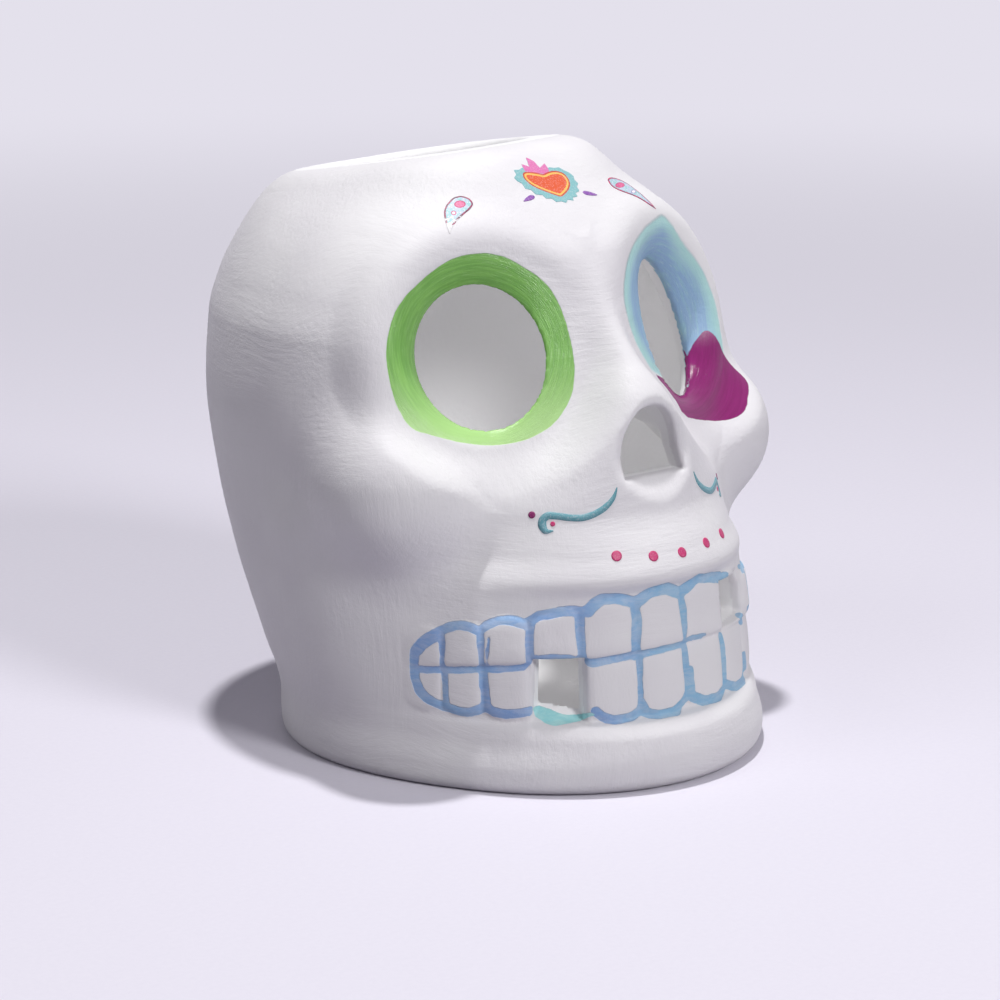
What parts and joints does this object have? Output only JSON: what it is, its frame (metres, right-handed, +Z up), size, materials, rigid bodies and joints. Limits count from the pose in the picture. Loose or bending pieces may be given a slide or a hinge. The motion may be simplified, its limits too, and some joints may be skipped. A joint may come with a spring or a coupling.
{
  "type": "halloween skeleton decoration",
  "caption": "Hollow ceramic skull with an open top, round eye openings, nose opening and outlined teeth, decorated with painted and printed ornament.",
  "frame": {"origin": "on the flat underside, below the middle of the bounding box", "axes": "+X towards the skull's own left side, -Y the way the face looks, +Z up"},
  "size_m": [0.1358, 0.1523, 0.1498],
  "materials": {
    "white_glaze": "matt white glaze on fired clay, with brushed paint round the eyes and the teeth",
    "heart_print": "satin printed transfer",
    "purple_print": "satin printed transfer",
    "teal_print": "satin printed transfer",
    "pale_print": "satin printed transfer",
    "pink_print": "satin printed transfer"
  },
  "bodies": {
    "root": {"skull_shell": "white_glaze", "heart_transfer": "heart_print", "drop_transfer_right": "purple_print", "paisley_transfer_right": "pale_print", "scroll_transfer_right": "teal_print", "curl_dot_right": "pink_print", "cheek_dot_right": "pink_print", "drop_transfer_left": "purple_print", "paisley_transfer_left": "pale_print", "scroll_transfer_left": "teal_print", "curl_dot_left": "pink_print", "cheek_dot_left": "pink_print", "lip_dot_1": "pink_print", "lip_dot_2": "pink_print", "lip_dot_3": "pink_print", "lip_dot_4": "pink_print", "lip_dot_5": "pink_print"}
  },
  "joints": []
}
